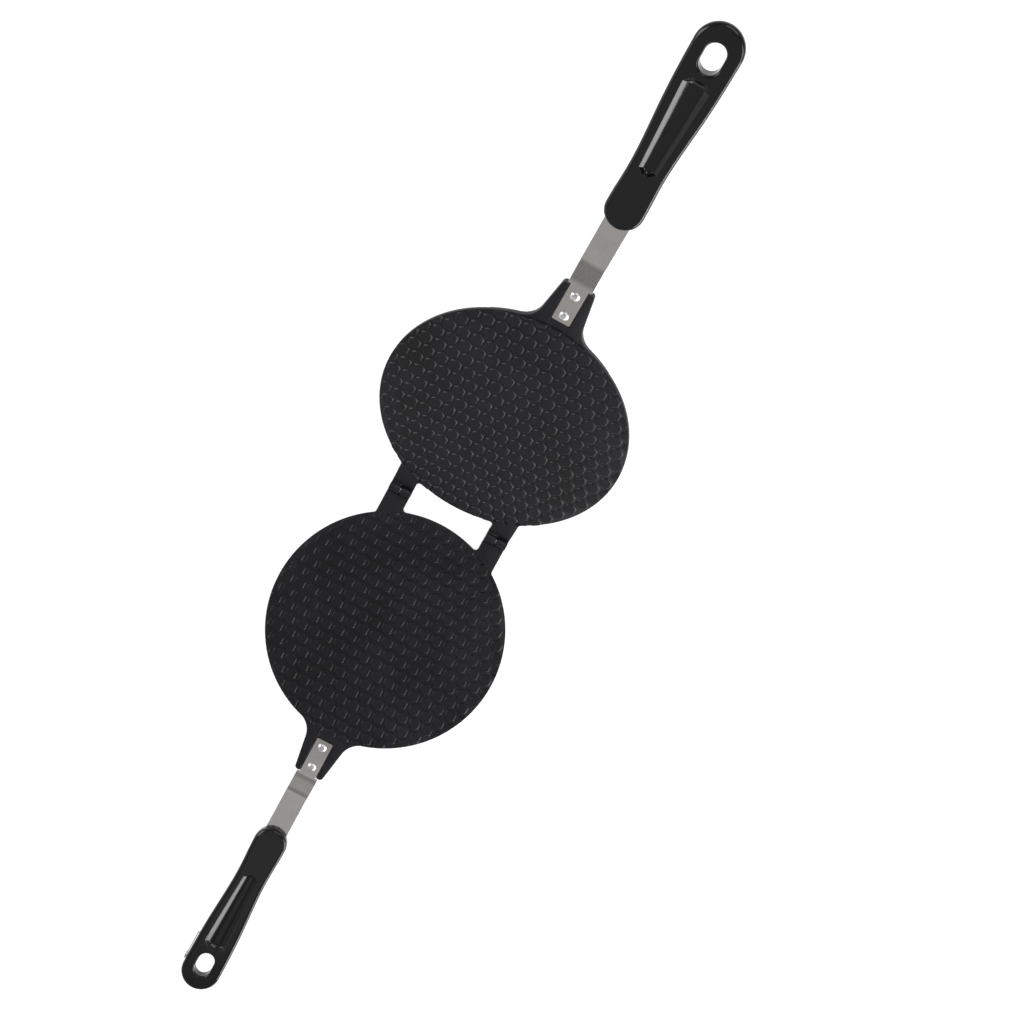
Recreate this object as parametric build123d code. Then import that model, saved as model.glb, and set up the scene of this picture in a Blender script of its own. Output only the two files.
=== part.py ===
from build123d import *
import os
from math import atan2, cos, degrees, hypot, radians, tan

# Egg roll pan: two round cast plates joined by a hinge, each with a strip of steel riveted to it
# that carries a moulded handle, and a hook on the lower handle that holds both handles together.
#
# Each half is modelled in its own frame: the origin lies on the hinge axis midway between the
# two lugs, X runs along the hinge, Y runs outward to the handle, and Z rises from the cooking
# face. The lower half is then turned half round about Z, and the upper half is raised about the
# hinge to its stop. All sizes are in millimetres.

os.makedirs("parts", exist_ok=True)

# Plates
PLATE_DIAMETER = 180.0
PLATE_THICKNESS = 4.6
HINGE_TO_PLATE = 98.8            # hinge axis to the plate's centre
CLOSED_GAP = 1.6                 # between the cooking faces when the pan is shut
RIM_EDGE_RADIUS = 1.2
RING_RADIUS = 80.0               # shallow ring turned into the back
RING_WIDTH = 2.4
RING_DEPTH = 0.6

# Honeycomb on the cooking face: six-sided cells that stand up between grooves
CELL_PITCH = 10.5                # from a cell's middle to the next, along the hinge's direction
CELL_FOOT = 9.3                  # across its flats at the grooves' floor
CELL_TOP = 7.3                   # across its flats at the cooking face
CELL_HEIGHT = 0.8
CELL_OFFSET = -2.0               # one cell's middle from the plate's middle, towards the hinge
CELL_RIM = 0.4                   # bare edge outside the cells

# Hinge
LUG_CENTRES = 80.7               # from the left lug's middle to the right one's
LUG_WIDTH = 17.4
KNUCKLE_SLIT = 0.6               # between the two knuckles of one lug
BARREL_RADIUS = 4.2
BARREL_CLEARANCE = 0.3           # round the other half's barrel
HINGE_PIN_RADIUS = 2.0
HINGE_PIN_CLEARANCE = 0.05
LUG_CORNER_RADIUS = 2.5          # where a lug leaves the plate
OPENING_ANGLE = 141.2            # from shut to the stop
STOP_CLEARANCE = 0.2             # between the stop faces when they rest on each other

# Forked lug that takes the handle's strip
FORK_ROOT_WIDTH = 34.0           # where its sides, made longer, would cross the plate's edge
FORK_TIP_WIDTH = 22.6
FORK_LENGTH = 34.0               # from the plate's edge on the centre line to the fork's tips
FORK_FILLET = 16.0
FORK_STEP = 1.0                  # below the cooking face
FORK_INSIDE = 20.0               # how far the lug reaches into the disc
FORK_THICKNESS = 5.5
FORK_TIP_RADIUS = 2.0
FORK_RAMP_START = 12.0           # inside the plate's edge, where the underside starts to drop
FORK_RAMP_END = 4.0              # outside the plate's edge

# Strip between plate and handle
STRIP_THICKNESS = 2.0
STRIP_WIDTH = 17.4
TONGUE_WIDTH = 13.3
TONGUE_LENGTH = 29.2             # from its end in the fork to the shoulders
TONGUE_SIDE_GAP = 0.45
TONGUE_END_GAP = 0.4
TONGUE_SUNK = 0.2                # its top below the fork's top
SHOULDER_GAP = 1.0               # from the fork's tips to the strip's shoulders
JOGGLE_START = 3.0               # beyond the shoulders
JOGGLE_LENGTH = 12.5
JOGGLE_DROP = 4.7
BEND_RADIUS = 4.0
STRIP_FREE_LENGTH = 32.4         # between the joggle and the handle
STRIP_IN_HANDLE = 30.0

# Rivets
RIVET_SHANK_RADIUS = 2.0
RIVET_CLEARANCE = 0.05
RIVET_HEAD_RADIUS = 3.4
RIVET_HEAD_HEIGHT = 1.5
RIVET_TAIL_RADIUS = 3.2
RIVET_TAIL_HEIGHT = 1.2
RIVET_PITCH = 16.6
RIVET_FROM_TONGUE_END = 5.3

# Handle
HANDLE_LENGTH = 138.7
HANDLE_STEP = 0.4                # its face below the cooking face
HANDLE_FRONT_THICKNESS = 13.0
HANDLE_END_THICKNESS = 9.0
HANDLE_BULGE_WIDTH = 25.6        # near the front
HANDLE_NECK_WIDTH = 23.9
HANDLE_NECK = 38.7               # behind the front
HANDLE_MIDDLE_WIDTH = 28.1
HANDLE_MIDDLE = 81.6             # behind the front
HANDLE_END_WIDTH = 30.2
HANDLE_FACE_RADIUS = 1.6         # edge of the face turned to the other handle
HANDLE_BACK_RADIUS = 6.0         # edge of the face that lies in the palm
STRIP_SLOT_CLEARANCE = 0.1

# Hanging hole
HOLE_WIDTH = 12.7
HOLE_LENGTH = 18.6
HOLE_TO_END = 20.6               # from its centre
HOLE_EDGE_RADIUS = 1.4

# Trough in the handle's face
TROUGH_START = 39.8              # behind the front
TROUGH_LENGTH = 65.0
TROUGH_FRONT_WIDTH = 12.0
TROUGH_END_WIDTH = 17.6
TROUGH_TIP_WIDTH = 3.0
TROUGH_NOSE = 3.2                # length of its cut corners at the front
TROUGH_END_BEVEL = 4.5
TROUGH_DEPTH = 4.2
TROUGH_WALL = 5.0                # how far its side walls lean inwards on the way down
TROUGH_NOSE_WALL = 2.6           # the same at the front
TROUGH_END_WALL = 5.0            # and at the end

# Hook on the lower handle's side, and the pin it swings on
HOOK_TO_END = 20.2               # from its pivot to the handle's end
HOOK_SHEET = 0.8
HOOK_WIDTH = 5.0
HOOK_EYE_RADIUS = 3.2
HOOK_REACH = 17.4                # from its pivot to the inside of its lip
HOOK_LIP = 1.5                   # how far the lip reaches over the handle's edge
HOOK_LIP_WIDTH = 3.0
HOOK_SLOPE = 27.0                # stowed, degrees below the handle's own line
HOOK_GAP = 0.15                  # to the handle's side
HOOK_PIN_RADIUS = 1.5
HOOK_PIN_CLEARANCE = 0.05
HOOK_PIN_LENGTH = 6.0            # in the handle
HOOK_HEAD_RADIUS = 2.6
HOOK_HEAD_HEIGHT = 0.5

# Levels and places that follow from the sizes above
PLATE_RADIUS = PLATE_DIAMETER / 2
FACE = -CLOSED_GAP / 2
BACK = FACE - PLATE_THICKNESS
CELL_FLOOR = FACE - CELL_HEIGHT
STOP_ANGLE = (180 - OPENING_ANGLE) / 2
PLATE_EDGE = HINGE_TO_PLATE + PLATE_RADIUS
FORK_TOP = FACE - FORK_STEP
FORK_BOTTOM = FORK_TOP - FORK_THICKNESS
FORK_END = PLATE_EDGE + FORK_LENGTH
SHOULDER = FORK_END + SHOULDER_GAP
TONGUE_END = SHOULDER - TONGUE_LENGTH
TONGUE_TOP = FORK_TOP - TONGUE_SUNK
TONGUE_FLOOR = TONGUE_TOP - STRIP_THICKNESS
TONGUE_MIDDLE = TONGUE_TOP - STRIP_THICKNESS / 2
JOGGLE_FRONT = SHOULDER + JOGGLE_START
JOGGLE_BACK = JOGGLE_FRONT + JOGGLE_LENGTH
HANDLE_FRONT = JOGGLE_BACK + STRIP_FREE_LENGTH
HANDLE_END = HANDLE_FRONT + HANDLE_LENGTH
STRIP_MIDDLE = TONGUE_MIDDLE - JOGGLE_DROP
HANDLE_FACE = FACE - HANDLE_STEP
RIVET_PLACES = {"inner": TONGUE_END + RIVET_FROM_TONGUE_END,
                "outer": TONGUE_END + RIVET_FROM_TONGUE_END + RIVET_PITCH}

# A half owns the inner knuckle of its right-hand lug and the outer knuckle of its left-hand one,
# so that two equal castings, one turned half round, mesh.
KNUCKLE_WIDTH = (LUG_WIDTH - KNUCKLE_SLIT) / 2
RIGHT_KNUCKLE = LUG_CENTRES / 2 - (LUG_WIDTH - KNUCKLE_WIDTH) / 2
LEFT_KNUCKLE = -LUG_CENTRES / 2 - (LUG_WIDTH - KNUCKLE_WIDTH) / 2


def handle_back(y):
    """Height of the handle's back at distance y from the hinge: it thins towards the end."""
    share = (y - HANDLE_FRONT) / HANDLE_LENGTH
    thickness = HANDLE_FRONT_THICKNESS + share * (HANDLE_END_THICKNESS - HANDLE_FRONT_THICKNESS)
    return HANDLE_FACE - thickness


# The hook lies along the lower handle's outer side with its lip under the handle. It swings down,
# round the handle's end and up, until the lip lies over the other handle.
HOOK_Y = HANDLE_END - HOOK_TO_END
HOOK_Z = (HANDLE_FACE + handle_back(HOOK_Y)) / 2
HOOK_INSIDE = HANDLE_END_WIDTH / 2 + HOOK_GAP


def slab(sketch, low, high):
    """The sketch as a solid between two heights."""
    return extrude(Pos(0, 0, low) * sketch, high - low)


def side_profile(points, half_width):
    """A solid with the given outline in the Y-Z plane, symmetric about X = 0."""
    outline = make_face(Polyline([(0, y, z) for y, z in points], close=True))
    return extrude(outline, half_width, dir=(1, 0, 0), both=True)


def bar_between(radius, start, end):
    """A round bar along X between two places."""
    bar = Cylinder(radius, end - start, align=(Align.CENTER, Align.CENTER, Align.MIN))
    return Pos(start, 0, 0) * Rot(0, 90, 0) * bar


def cross_bar(radius, length, x):
    """A round bar on the hinge axis with its middle at x."""
    return bar_between(radius, x - length / 2, x + length / 2)


def upright(radius, low, high):
    return Pos(0, 0, low) * Cylinder(radius, high - low, align=(Align.CENTER, Align.CENTER, Align.MIN))


def make_fork():
    """The forked lug: its plan with fillets at the plate, and a ramp up to the back underneath."""
    root_y = HINGE_TO_PLATE + (PLATE_RADIUS ** 2 - (FORK_ROOT_WIDTH / 2) ** 2) ** 0.5
    slope = (FORK_ROOT_WIDTH - FORK_TIP_WIDTH) / 2 / (FORK_END - root_y)
    start = FORK_ROOT_WIDTH / 2 + slope * FORK_INSIDE
    tip = FORK_TIP_WIDTH / 2
    taper = make_face(Polyline((-start, root_y - FORK_INSIDE), (start, root_y - FORK_INSIDE),
                               (tip, FORK_END), (-tip, FORK_END), close=True))
    plan = Pos(0, HINGE_TO_PLATE) * Circle(PLATE_RADIUS) + taper
    roots = [v for v in plan.vertices() if abs(v.Y - root_y) < 1.0]
    plan = fillet(roots, FORK_FILLET)
    tips = [v for v in plan.vertices() if abs(v.Y - FORK_END) < 0.01]
    plan = fillet(tips, FORK_TIP_RADIUS)
    ramp_start = PLATE_EDGE - FORK_RAMP_START
    ramp_end = PLATE_EDGE + FORK_RAMP_END
    side = side_profile([(ramp_start, FORK_TOP), (FORK_END + 1, FORK_TOP), (FORK_END + 1, FORK_BOTTOM),
                         (ramp_end, FORK_BOTTOM), (ramp_start, BACK)], PLATE_RADIUS)
    return slab(plan, FORK_BOTTOM, FORK_TOP) & side


def make_lug_arms():
    """Both hinge lugs without their barrels, cut off below on the plane of the opening stop."""
    lug_edge = LUG_CENTRES / 2 + LUG_WIDTH / 2
    reach = HINGE_TO_PLATE - (PLATE_RADIUS ** 2 - lug_edge ** 2) ** 0.5
    heel = PLATE_THICKNESS
    plan = Pos(0, HINGE_TO_PLATE) * Circle(PLATE_RADIUS)
    for side in (-1, 1):
        arm = Rectangle(LUG_WIDTH, reach + 2 * heel, align=(Align.CENTER, Align.MIN))
        plan += Pos(side * LUG_CENTRES / 2, -heel) * arm
    corners = [v for v in plan.vertices() if 1.0 < v.Y < HINGE_TO_PLATE]
    plan = fillet(corners, LUG_CORNER_RADIUS)
    arms = slab(plan, BACK, FACE) & Box(PLATE_DIAMETER, 2 * (reach + heel), 4 * PLATE_THICKNESS)
    lean = tan(radians(STOP_ANGLE))
    room = STOP_CLEARANCE / 2 / cos(radians(STOP_ANGLE))
    depth = 2 * PLATE_THICKNESS
    past_stop = [(room, 0), (room - depth * lean, -depth), (-2 * depth, -depth), (-2 * depth, 0)]
    cells = Pos(0, HINGE_TO_PLATE) * upright(PLATE_RADIUS - CELL_RIM, CELL_FLOOR, FACE + 1)
    return arms - side_profile(past_stop, PLATE_RADIUS) - cells


def make_hinge_lugs():
    """Both lugs with this half's barrels, and the room beside them for the other half's."""
    lugs = make_lug_arms()
    room_width = LUG_WIDTH - KNUCKLE_WIDTH
    for knuckle in (RIGHT_KNUCKLE, LEFT_KNUCKLE):
        room_middle = knuckle + (KNUCKLE_WIDTH + room_width) / 2
        lugs -= cross_bar(BARREL_RADIUS + BARREL_CLEARANCE, room_width, room_middle)
        lugs += cross_bar(BARREL_RADIUS, KNUCKLE_WIDTH, knuckle)
        lugs -= cross_bar(HINGE_PIN_RADIUS + HINGE_PIN_CLEARANCE, KNUCKLE_WIDTH, knuckle)
    return lugs


def make_cells():
    """The honeycomb: rows of cells along the hinge's direction, each row moved by half a pitch."""
    lean = degrees(atan2((CELL_FOOT - CELL_TOP) / 2, CELL_HEIGHT))
    foot = RegularPolygon(CELL_FOOT / 2, 6, major_radius=False, rotation=30)
    cell = Pos(0, 0, CELL_FLOOR) * extrude(foot, CELL_HEIGHT, taper=lean)
    row_step = CELL_PITCH * cos(radians(30))
    rows = int(PLATE_DIAMETER / row_step / 2) + 1
    columns = int(PLATE_DIAMETER / CELL_PITCH / 2) + 1
    reach = CELL_FOOT / cos(radians(30)) / 2
    inner = PLATE_RADIUS - CELL_RIM - reach
    outer = PLATE_RADIUS + CELL_TOP / 4
    whole = []
    cut = []
    for row in range(-rows, rows + 1):
        for column in range(-columns, columns + 1):
            x = (column + row % 2 / 2) * CELL_PITCH
            y = row * row_step + CELL_OFFSET
            if hypot(x, y) < inner:
                whole.append(Pos(x, y, 0) * cell)
            elif hypot(x, y) < outer:
                cut.append(Pos(x, y, 0) * cell)
    edge = upright(PLATE_RADIUS - CELL_RIM, CELL_FLOOR, FACE)
    return whole + [piece & edge for piece in cut]


def make_plate():
    """One casting: disc, hinge lugs and fork, with the seat for the tongue and its rivet holes."""
    disc = upright(PLATE_RADIUS, BACK, CELL_FLOOR)
    disc = fillet(disc.edges().filter_by(GeomType.CIRCLE).sort_by(Axis.Z)[:1], RIM_EDGE_RADIUS)
    disc = disc.fuse(*make_cells())
    ring = Circle(RING_RADIUS + RING_WIDTH / 2) - Circle(RING_RADIUS - RING_WIDTH / 2)
    disc -= slab(ring, BACK, BACK + RING_DEPTH)
    plate = Pos(0, HINGE_TO_PLATE, 0) * disc + make_hinge_lugs() + make_fork()
    seat_width = TONGUE_WIDTH + 2 * TONGUE_SIDE_GAP
    seat_start = TONGUE_END - TONGUE_END_GAP
    seat = Rectangle(seat_width, FORK_END + 1 - seat_start, align=(Align.CENTER, Align.MIN))
    plate -= slab(Pos(0, seat_start) * seat, TONGUE_FLOOR, FACE + 1)
    for y in RIVET_PLACES.values():
        plate -= Pos(0, y, 0) * upright(RIVET_SHANK_RADIUS + RIVET_CLEARANCE, FORK_BOTTOM - 1, FACE)
    return plate


def make_tang():
    """The strip: a narrow tongue, the joggle, and the wide part that runs on into the handle."""
    last = HANDLE_FRONT + STRIP_IN_HANDLE
    line = FilletPolyline([(0, TONGUE_END, TONGUE_MIDDLE), (0, JOGGLE_FRONT, TONGUE_MIDDLE),
                           (0, JOGGLE_BACK, STRIP_MIDDLE), (0, last, STRIP_MIDDLE)], radius=BEND_RADIUS)
    section = Plane(origin=(0, TONGUE_END, TONGUE_MIDDLE), x_dir=(1, 0, 0), z_dir=(0, 1, 0))
    strip = sweep(section * Rectangle(STRIP_WIDTH, STRIP_THICKNESS), path=line)
    beside = Box(STRIP_WIDTH, TONGUE_LENGTH, 4 * STRIP_THICKNESS,
                 align=(Align.MIN, Align.MIN, Align.CENTER))
    beside = Pos(TONGUE_WIDTH / 2, TONGUE_END, TONGUE_MIDDLE) * beside
    strip = strip - beside - mirror(beside, Plane.YZ)
    for y in RIVET_PLACES.values():
        strip -= Pos(0, y, 0) * upright(RIVET_SHANK_RADIUS + RIVET_CLEARANCE, FORK_BOTTOM, FACE)
    return strip


def dome(radius, height):
    """A cap of a ball, standing on Z = 0."""
    ball = (radius ** 2 + height ** 2) / (2 * height)
    return Pos(0, 0, height - ball) * Sphere(ball) & upright(radius, 0, height)


def make_rivet(y):
    """A rivet: domed head on the tongue, shank, and the formed tail under the fork."""
    rivet = upright(RIVET_SHANK_RADIUS, FORK_BOTTOM, TONGUE_TOP)
    rivet += Pos(0, 0, TONGUE_TOP) * dome(RIVET_HEAD_RADIUS, RIVET_HEAD_HEIGHT)
    rivet += Pos(0, 0, FORK_BOTTOM) * mirror(dome(RIVET_TAIL_RADIUS, RIVET_TAIL_HEIGHT), Plane.XY)
    return Pos(0, y, 0) * rivet


def handle_plan():
    """Plan of the handle: a round nose, a drawn-in neck and a half-round end."""
    bulge = HANDLE_BULGE_WIDTH / 2
    end = HANDLE_END_WIDTH / 2
    right = [(bulge, HANDLE_FRONT + bulge), (HANDLE_NECK_WIDTH / 2, HANDLE_FRONT + HANDLE_NECK),
             (HANDLE_MIDDLE_WIDTH / 2, HANDLE_FRONT + HANDLE_MIDDLE), (end, HANDLE_END - end)]
    left = [(-x, y) for x, y in right]
    sides = [Spline(*points, tangents=((0, 1), (0, 1))) for points in (right, left)]
    front = ThreePointArc(right[0], (0, HANDLE_FRONT), left[0])
    back = ThreePointArc(right[-1], (0, HANDLE_END), left[-1])
    return make_face(Wire([front, sides[0], back, sides[1]]))


def trough_outline(tip, front, wide, nose, bevel, start, end):
    """An outline with a blunt tip at the start, straight sides, and bevelled corners at the end."""
    side = [(tip, start), (front, start + nose), (wide, end - bevel), (wide - bevel, end)]
    return make_face(Polyline(side + [(-x, y) for x, y in reversed(side)], close=True))


def trough():
    """What the trough takes out: its outline on the handle's face, drawn in to its floor."""
    front = TROUGH_FRONT_WIDTH / 2
    wide = TROUGH_END_WIDTH / 2
    rim = trough_outline(TROUGH_TIP_WIDTH / 2, front, wide, TROUGH_NOSE, TROUGH_END_BEVEL, 0, TROUGH_LENGTH)
    floor = trough_outline(TROUGH_TIP_WIDTH / 6, front - TROUGH_WALL, wide - TROUGH_WALL,
                           TROUGH_NOSE / 2, TROUGH_END_BEVEL / 2,
                           TROUGH_NOSE_WALL, TROUGH_LENGTH - TROUGH_END_WALL)
    cut = loft([Pos(0, 0, -TROUGH_DEPTH) * floor, rim], ruled=True) + slab(rim, 0, 1)
    return Pos(0, HANDLE_FRONT + TROUGH_START, HANDLE_FACE) * cut


def make_handle():
    """The moulded handle with its slot for the strip, hanging hole and trough."""
    margin = 5.0
    y0 = HANDLE_FRONT - margin
    y1 = HANDLE_END + margin
    below = handle_back(y0) - margin
    above = HANDLE_FACE + margin
    side = side_profile([(y0, HANDLE_FACE), (y1, HANDLE_FACE),
                         (y1, handle_back(y1)), (y0, handle_back(y0))], HANDLE_END_WIDTH)
    handle = slab(handle_plan(), below, above) & side
    flats = handle.faces().filter_by(GeomType.PLANE).sort_by(Axis.Z)
    handle = fillet(flats[0].edges(), HANDLE_BACK_RADIUS)
    face = handle.faces().filter_by(GeomType.PLANE).sort_by(Axis.Z)[-1]
    handle = fillet(face.edges(), HANDLE_FACE_RADIUS)
    hole_y = HANDLE_END - HOLE_TO_END
    hole = SlotOverall(HOLE_LENGTH, HOLE_WIDTH, rotation=90)
    handle -= slab(Pos(0, hole_y) * hole, below, above)
    rims = [edge for edge in handle.edges()
            if abs(edge.center().X) < HOLE_WIDTH / 2 + 0.1
            and abs(edge.center().Y - hole_y) < HOLE_LENGTH / 2 + 0.1
            and abs(edge.tangent_at(0.5).Z) < 0.5]
    handle = fillet(rims, HOLE_EDGE_RADIUS)
    slot_width = STRIP_WIDTH + 2 * STRIP_SLOT_CLEARANCE
    slot_length = margin + STRIP_IN_HANDLE + STRIP_SLOT_CLEARANCE
    slot = Box(slot_width, slot_length, STRIP_THICKNESS + 2 * STRIP_SLOT_CLEARANCE,
               align=(Align.CENTER, Align.MIN, Align.CENTER))
    return handle - trough() - Pos(0, y0, STRIP_MIDDLE) * slot


def make_hook():
    """The hook at its pivot, pointing along +Y, with its lip turned towards the handle."""
    straight = Pos(0, HOOK_REACH / 2) * Rectangle(HOOK_WIDTH, HOOK_REACH)
    plan = Circle(HOOK_EYE_RADIUS) + straight - Circle(HOOK_PIN_RADIUS + HOOK_PIN_CLEARANCE)
    blade = extrude(Plane.YZ * Rot(0, 0, -90) * plan, HOOK_SHEET)
    tip = HANDLE_END_WIDTH / 2 - HOOK_LIP - HOOK_INSIDE
    lip = Box(HOOK_SHEET - tip, HOOK_SHEET, HOOK_LIP_WIDTH, align=(Align.MIN, Align.MIN, Align.CENTER))
    return blade + Pos(tip, HOOK_REACH, 0) * lip


def build_half():
    return {"plate": make_plate(), "tang": make_tang(), "handle": make_handle(),
            "rivet_inner": make_rivet(RIVET_PLACES["inner"]),
            "rivet_outer": make_rivet(RIVET_PLACES["outer"])}


def stowed(shape):
    """Something on the hook's pivot, at its place on the lower half and sloping as when stowed."""
    return Pos(HOOK_INSIDE, HOOK_Y, HOOK_Z) * Rot(HOOK_SLOPE, 0, 0) * mirror(shape, Plane.XZ)


def make_hook_pin():
    """The pin in the handle's side, with a flat head that keeps the hook on."""
    head_start = HOOK_SHEET + HOOK_PIN_CLEARANCE
    shank = bar_between(HOOK_PIN_RADIUS, -HOOK_GAP - HOOK_PIN_LENGTH, head_start)
    return shank + bar_between(HOOK_HEAD_RADIUS, head_start, head_start + HOOK_HEAD_HEIGHT)


def rest_tilt():
    """The lean in degrees of the lower half, which rests on its hinge side and on the handle's nose."""
    nose_y = BACK * tan(radians(STOP_ANGLE))
    nose_of_handle = HANDLE_FRONT + HANDLE_BACK_RADIUS
    return degrees(atan2(BACK - handle_back(nose_of_handle), nose_of_handle - nose_y))


half = build_half()
lower = {"lower_" + name: Rot(0, 0, 180) * shape for name, shape in half.items()}
upper = {"upper_" + name: Rot(180 - OPENING_ANGLE, 0, 0) * shape for name, shape in half.items()}
pin_hole = bar_between(HOOK_PIN_RADIUS + HOOK_PIN_CLEARANCE,
                       -HOOK_GAP - HOOK_PIN_LENGTH - HOOK_PIN_CLEARANCE, HOOK_SHEET)
lower["lower_handle"] -= Rot(0, 0, 180) * stowed(pin_hole)
lower["latch_pin"] = Rot(0, 0, 180) * stowed(make_hook_pin())
lower["left_hinge_pin"] = cross_bar(HINGE_PIN_RADIUS, LUG_WIDTH, -LUG_CENTRES / 2)
lower["right_hinge_pin"] = cross_bar(HINGE_PIN_RADIUS, LUG_WIDTH, LUG_CENTRES / 2)
latch = {"latch_hook": Rot(0, 0, 180) * stowed(make_hook())}

# At rest the whole pan leans by the tilt of its lower half, and the origin is set below its middle.
tilt = -rest_tilt()
halves = lower | upper | latch
shapes = {name: Rot(tilt, 0, 0) * shape for name, shape in halves.items()}
boxes = [shape.bounding_box() for shape in shapes.values()]
low = Vector(*(min(getattr(box.min, axis) for box in boxes) for axis in "XYZ"))
high = Vector(*(max(getattr(box.max, axis) for box in boxes) for axis in "XYZ"))
shift = Vector(-(low.X + high.X) / 2, -(low.Y + high.Y) / 2, -low.Z)
for name, shape in shapes.items():
    placed = Pos(shift) * shape
    export_step(placed, "parts/" + name + ".step")
    print(name, placed.is_valid, round(placed.volume / 1000, 3), placed.bounding_box())


def place(x, y, z):
    """A point of the untilted lower frame, and its place in the finished part, in metres."""
    point = Vector(x, y, z).rotate(Axis.X, tilt) + shift
    return [round(value / 1000, 7) for value in point]


print("overall", high - low, "tilt", tilt, "shift", shift)
print("hinge", place(0, 0, 0))
print("hook", place(-HOOK_INSIDE, -HOOK_Y, HOOK_Z))
print("back centre", place(0, -HINGE_TO_PLATE, BACK), "normal", Vector(0, 0, -1).rotate(Axis.X, tilt))
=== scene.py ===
# %% [markdown]
# # An egg roll pan, dressed for its picture
#
# Two round cast plates are hinged together. Each carries a steel strip that runs into a black
# moulded handle, and a small hook holds both handles together when the pan is shut. The solids
# come from the imported model. This lesson gives them their surfaces, and builds again in finer
# detail what a plain solid cannot show: the soft honeycomb of the cooking faces, the round edges
# of the castings, the bends of the strips and the dished troughs of the handles.

# %% Load the imported model
from math import cos, radians, sin, tau

import bmesh
import bpy
import numpy as np
from mathutils import Matrix, Vector


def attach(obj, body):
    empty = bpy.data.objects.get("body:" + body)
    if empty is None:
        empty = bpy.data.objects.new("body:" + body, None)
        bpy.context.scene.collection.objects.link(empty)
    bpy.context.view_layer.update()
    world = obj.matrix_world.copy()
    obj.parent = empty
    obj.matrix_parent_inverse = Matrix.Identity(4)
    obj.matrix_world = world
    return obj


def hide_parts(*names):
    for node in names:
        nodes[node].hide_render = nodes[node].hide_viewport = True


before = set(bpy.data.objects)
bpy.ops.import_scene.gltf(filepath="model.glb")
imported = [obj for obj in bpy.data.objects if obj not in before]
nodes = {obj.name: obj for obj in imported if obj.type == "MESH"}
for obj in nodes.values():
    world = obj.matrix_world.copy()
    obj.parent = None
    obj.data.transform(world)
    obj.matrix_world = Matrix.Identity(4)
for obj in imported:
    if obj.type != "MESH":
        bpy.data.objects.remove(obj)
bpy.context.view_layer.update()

# %% [markdown]
# ## Where things are
#
# Both halves of the pan are equal castings, so each piece is drawn once, in millimetres, in the
# half's own frame: the origin on the hinge line, X along the hinge, Y out to the handle, Z up
# from the cooking face. Two small arrays of turns then carry a point to its half. The lower half
# is turned half round, the upper half is raised to the hinge's stop, and the whole pan leans a
# little, because it rests on its hinge side and on the nose of its handle.

# %% From a half's own frame to the finished pan
LEAN = -1.767271            # of the whole pan about X, in degrees
RAISED = 38.8               # of the upper half above the level, in degrees
HINGE_AT = np.array([0.0, 39.4405, 5.45644])


def turn_x(angle):
    """A turn about X: y' = y cos a - z sin a, z' = y sin a + z cos a."""
    c, s = cos(radians(angle)), sin(radians(angle))
    return np.array([[1, 0, 0], [0, c, -s], [0, s, c]])


HALF_TURN = {"lower": turn_x(LEAN) @ np.diag([-1.0, -1.0, 1.0]),
             "upper": turn_x(LEAN + RAISED)}


def to_pan(half, points):
    """Points of a half's own frame, in mm, as places in the pan, in metres."""
    return (np.asarray(points) @ HALF_TURN[half].T + HINGE_AT) / 1000


print("middle of the lower plate:", to_pan("lower", [0, 98.8, 0]).round(4))

# %% [markdown]
# ## Materials
#
# A finish is a small tree of nodes. All of them read Object coordinates, which are metres here,
# so a grain of 0.2 mm is a noise of scale 5000. A value that is the same all over goes straight
# onto the shader's socket, and only what changes over the surface is wired up.

# %% One helper that adds a node and sets its sockets


def add_node(tree, kind, inputs=None, **settings):
    """Adds a node, sets its settings, and sets or links each of its named inputs."""
    node = tree.nodes.new(kind)
    for name, value in settings.items():
        setattr(node, name, value)
    for name, value in (inputs or {}).items():
        if isinstance(value, bpy.types.NodeSocket):
            tree.links.new(value, node.inputs[name])
        else:
            node.inputs[name].default_value = value
    return node


def linear(code):
    """An sRGB hex colour as linear light.

    It is c / 12.92 where c is at most 0.04045, else ((c + 0.055) / 1.055) ^ 2.4."""
    c = np.array([int(code[i:i + 2], 16) for i in (0, 2, 4)]) / 255
    c = np.where(c <= 0.04045, c / 12.92, ((c + 0.055) / 1.055) ** 2.4)
    return (*c, 1.0)


def new_material(name):
    """An empty material with its output, and the Object coordinates that its patterns read."""
    material = bpy.data.materials.new(name)
    material.use_nodes = True
    tree = material.node_tree
    tree.nodes.clear()
    output = add_node(tree, "ShaderNodeOutputMaterial")
    place = add_node(tree, "ShaderNodeTexCoord").outputs["Object"]
    return material, tree, output, place


print("white in linear light:", linear("ffffff"))

# %% [markdown]
# ### Non-stick coating
#
# The plates are sprayed with a black non-stick coating. It has a satin sheen and a very fine
# orange peel, and it carries a slight grey bloom that comes and goes over the casting. Two
# noises do this: a fine one for the bump, and a broad one for the colour and the roughness.

# %% The coating of the plates


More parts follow.
